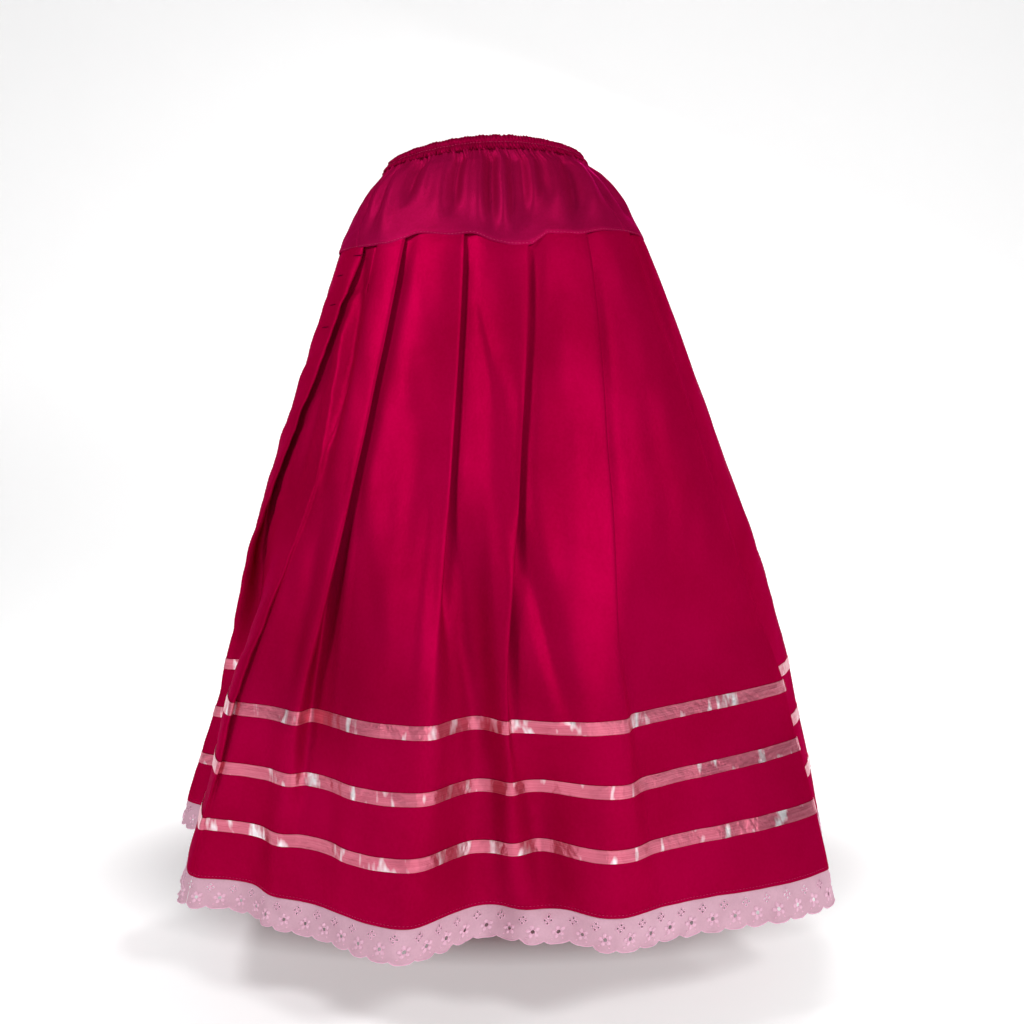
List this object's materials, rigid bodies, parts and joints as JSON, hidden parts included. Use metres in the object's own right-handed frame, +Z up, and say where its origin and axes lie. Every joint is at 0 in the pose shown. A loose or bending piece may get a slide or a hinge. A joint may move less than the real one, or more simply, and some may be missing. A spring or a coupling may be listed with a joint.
{
  "type": "umbanda skirt",
  "caption": "Long flared skirt with an elastic waist, a gathered hip yoke, knife pleats, rows of satin ribbon and an eyelet lace edge, open at waist and hem.",
  "frame": {"origin": "middle of the waist ring, at the level of its top edge at the centre front, where the wearer holds the skirt up", "axes": "+Z up out of the waist, -Y towards the viewer at the wearer's front, +X to the viewer's right"},
  "size_m": [0.9339, 0.8114, 0.9389],
  "materials": {
    "magenta_cloth": "smooth woven cloth with a slight sheen",
    "pink_satin": "glossy satin",
    "pink_eyelet_lace": "matt embroidered cotton"
  },
  "bodies": {
    "root": {"waistband": "magenta_cloth", "yoke_front": "magenta_cloth", "yoke_back": "magenta_cloth", "skirt_front": "magenta_cloth", "skirt_back": "magenta_cloth", "ribbon_top_front": "pink_satin", "ribbon_top_back": "pink_satin", "ribbon_middle_front": "pink_satin", "ribbon_middle_back": "pink_satin", "ribbon_low_front": "pink_satin", "ribbon_low_back": "pink_satin", "lace_front": "pink_eyelet_lace", "lace_back": "pink_eyelet_lace"}
  },
  "joints": []
}
